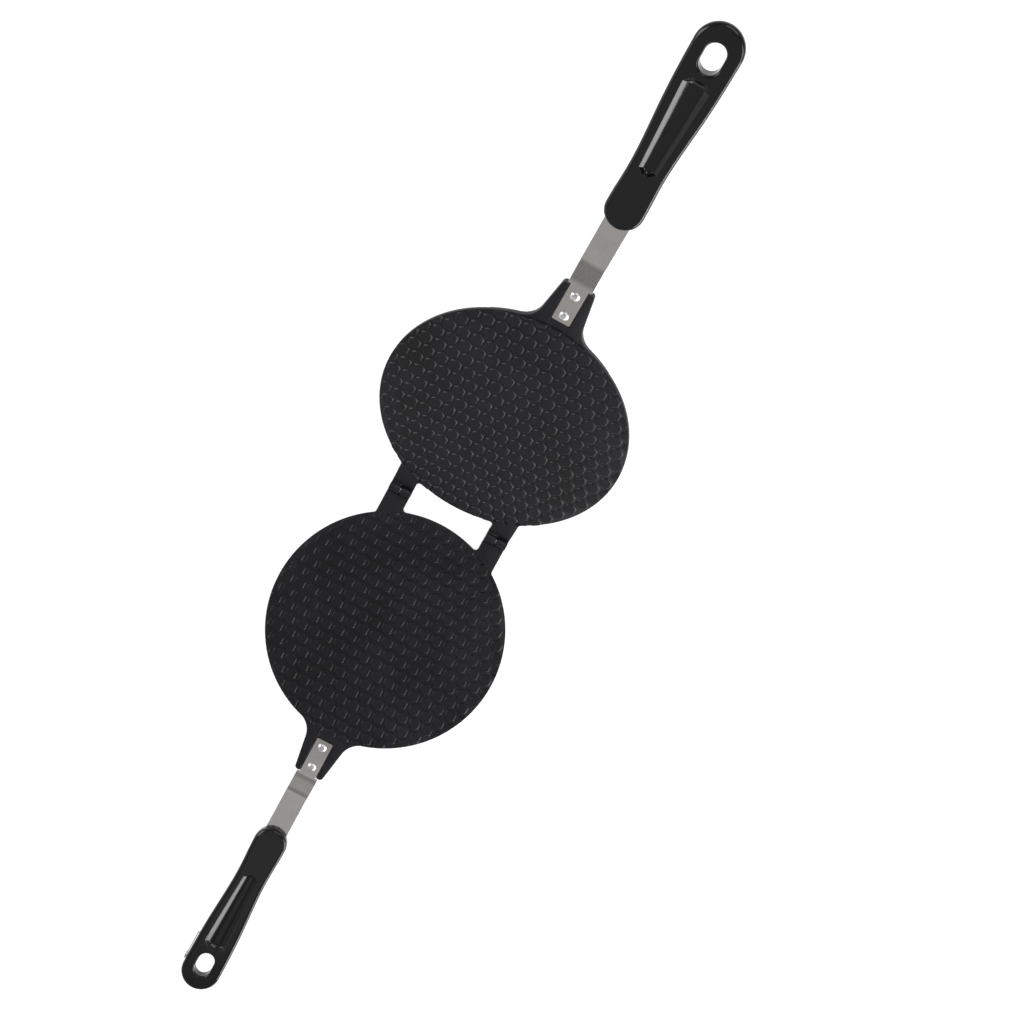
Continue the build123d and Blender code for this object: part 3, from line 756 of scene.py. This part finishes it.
def make_handle(half):
    """Cuts the trough out of a copy of the solid, softens the face's edge and adds the dish."""
    form = bmesh.new()
    form.from_mesh(nodes[half + "_handle"].data)
    bmesh.ops.remove_doubles(form, verts=form.verts, dist=SAME_POINT)
    x, y, z = from_pan(half, [face.calc_center_median() for face in form.faces]).T
    cut = (np.abs(x) < TROUGH_HALF) & (y > TROUGH_ENDS[0]) & (y < TROUGH_ENDS[1])
    cut &= (z < HANDLE_FACE - SLACK) & (z > HANDLE_FACE - TROUGH_CUT)
    form.faces.ensure_lookup_table()
    bmesh.ops.delete(form, geom=[form.faces[i] for i in np.flatnonzero(cut)], context="FACES")
    form.verts.index_update()
    form.normal_update()
    print("corners round the face:", soften_face(form, half))
    above = open_rim(form)
    for row in to_pan(half, dish(from_pan(half, [corner.co for corner in above]))):
        below = [form.verts.new(point) for point in row]
        for i in range(len(row)):
            form.faces.new((above[i - 1], above[i], below[i], below[i - 1]))
        above = below
    form.faces.new(above)
    bmesh.ops.dissolve_degenerate(form, edges=form.edges, dist=SAME_POINT)
    bmesh.ops.recalc_face_normals(form, faces=form.faces)
    mesh = bpy.data.meshes.new(half + "_handle_moulded")
    form.to_mesh(mesh)
    form.free()
    shade(mesh, SHARP_MOULDING, bakelite)
    handle = add_object(half + "_handle_moulded", mesh)
    even = handle.modifiers.new("even_shading", "WEIGHTED_NORMAL")
    even.keep_sharp = True
    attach(handle, half + "_half")
    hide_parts(half + "_handle")
    print(handle.name, "faces", len(mesh.polygons), "cut out", int(cut.sum()))


for half in ("lower", "upper"):
    make_handle(half)

# %% [markdown]
# ### Hinge pins
#
# The pins are turned steel, and their ends are peened over a little, so that they cannot creep
# out of the knuckles. Each is a profile turned about the hinge line.

# %% Peened pins
PIN_PLACES = {"left": -40.35, "right": 40.35}       # middle of each pin, along the hinge


def peened_pin(middle):
    """A profile of (distance, place along the pin), turned about the hinge line."""
    end = np.array([(0, 9.15), (0.8, 9.12), (1.5, 9.02), (2.15, 8.85), (2.3, 8.72), (2.0, 8.6)])
    profile = np.concatenate([end, end[::-1] * (1, -1)])
    return skin(turned(profile, 32)[..., [2, 0, 1]] + (middle, 0, 0))


for side, middle in PIN_PLACES.items():
    make_piece(side + "_pin_peened", "upper", [peened_pin(middle)], pin_steel, "lower_half",
               side + "_hinge_pin")

# %% [markdown]
# ## The table, the light and the camera
#
# The pan lies on a plain white ground. The ground adds light of its own to what the camera and
# the reflections see, so that it shows white and the shadow stays faint.

# %% The ground
GROUND_HALF = 12.0           # metres from its middle to a side
PAPER, GLOW = 0.40, 0.78     # what it scatters, and the light of its own that is seen


def make_ground():
    material, tree, output, _ = new_material("white_ground")
    path = add_node(tree, "ShaderNodeLightPath")
    seen = add_node(tree, "ShaderNodeMath", {
        0: path.outputs["Is Camera Ray"], 1: path.outputs["Is Glossy Ray"]}, operation="MAXIMUM")
    seen = add_node(tree, "ShaderNodeMath", {
        0: seen.outputs["Value"], 1: path.outputs["Is Transmission Ray"]}, operation="MAXIMUM")
    glow = add_node(tree, "ShaderNodeMath", {0: seen.outputs["Value"], 1: GLOW},
                    operation="MULTIPLY")
    emission = add_node(tree, "ShaderNodeEmission", {"Strength": glow.outputs["Value"]})
    paper = add_node(tree, "ShaderNodeBsdfDiffuse", {"Color": (PAPER, PAPER, PAPER, 1.0)})
    both = add_node(tree, "ShaderNodeAddShader")
    tree.links.new(paper.outputs["BSDF"], both.inputs[0])
    tree.links.new(emission.outputs["Emission"], both.inputs[1])
    tree.links.new(both.outputs["Shader"], output.inputs["Surface"])
    mesh = bpy.data.meshes.new("ground")
    signs = ((-1, -1), (1, -1), (1, 1), (-1, 1))
    corners = [(x * GROUND_HALF, y * GROUND_HALF, 0) for x, y in signs]
    mesh.from_pydata(corners, [], [(0, 1, 2, 3)])
    mesh.materials.append(material)
    ground = add_object("ground", mesh)
    return ground


ground = make_ground()
print("ground:", ground.dimensions[:2])

# %% [markdown]
# The coating and the plastic are nearly black, so what shows on them is mostly what they mirror:
# the sky, the ground and four softboxes. The sky is white at the horizon and grey above, with a
# narrow bright ring high up.

# %% The sky of the studio
SKY_LEVELS = ((0.18, 0.50), (0.32, 0.50), (0.46, 0.64), (0.70, 0.42), (0.86, 0.26),
              (0.905, 0.30), (0.928, 0.86), (0.950, 0.86), (0.972, 0.30))     # height, brightness


def make_sky():
    world = bpy.data.worlds.new("studio")
    bpy.context.scene.world = world
    world.use_nodes = True
    tree = world.node_tree
    tree.nodes.clear()
    output = add_node(tree, "ShaderNodeOutputWorld")
    direction = add_node(tree, "ShaderNodeTexCoord").outputs["Generated"]
    height = add_node(tree, "ShaderNodeSeparateXYZ", {"Vector": direction}).outputs["Z"]
    ramp = add_node(tree, "ShaderNodeValToRGB", {"Fac": height})
    ramp.color_ramp.elements[0].position = 0.08
    ramp.color_ramp.elements[0].color = (1, 1, 1, 1)
    ramp.color_ramp.elements[1].position = 1.0
    ramp.color_ramp.elements[1].color = (0.30, 0.30, 0.31, 1)
    for position, level in SKY_LEVELS:
        ramp.color_ramp.elements.new(position).color = (level, level, level * 1.02, 1)
    background = add_node(tree, "ShaderNodeBackground", {
        "Color": ramp.outputs["Color"], "Strength": 1.0})
    tree.links.new(background.outputs["Background"], output.inputs["Surface"])
    return world


print("world:", make_sky().name)

# %% The softboxes


def softbox(name, place, aim, size, power):
    """A rectangular lamp at a place, turned to face a point, all in metres."""
    lamp = bpy.data.lights.new(name, "AREA")
    lamp.shape = "RECTANGLE"
    lamp.size, lamp.size_y = size
    lamp.energy = power
    lamp_object = add_object(name, lamp)
    lamp_object.location = place
    lamp_object.rotation_euler = (Vector(aim) - Vector(place)).to_track_quat("-Z", "Y").to_euler()
    lamp_object.visible_camera = False


softbox("right_box", (1.0, -0.05, 0.72), (0, 0, 0.05), (0.7, 0.7), 8.0)
softbox("left_box", (-1.0, -0.05, 0.72), (0, 0, 0.05), (0.7, 0.7), 8.5)
softbox("low_strip", (0.68, -0.25, 0.15), (0, 0.2, 0.15), (0.8, 0.26), 6.0)
softbox("far_box", (0.25, 0.95, 1.5), (0, 0.1, 0.05), (1.0, 0.6), 6.0)

# %% [markdown]
# The camera stands nearly above the hinge, and is turned so that the pan runs across the picture
# from lower left to upper right. Its place was found by fitting the outlines of the pan.

# %% The camera
camera = bpy.data.cameras.new("camera")
camera.sensor_width = 36.0
camera.lens = 44.887
camera.clip_start = 0.01
camera_object = add_object("camera", camera)
camera_object.rotation_euler = [radians(a) for a in (-5.73917, -1.78144, 28.67080)]
camera_object.location = (-0.031137, 0.133915, 0.953899)
bpy.context.scene.camera = camera_object
bpy.context.scene.view_settings.view_transform = "Standard"
print("camera at", camera_object.location[:])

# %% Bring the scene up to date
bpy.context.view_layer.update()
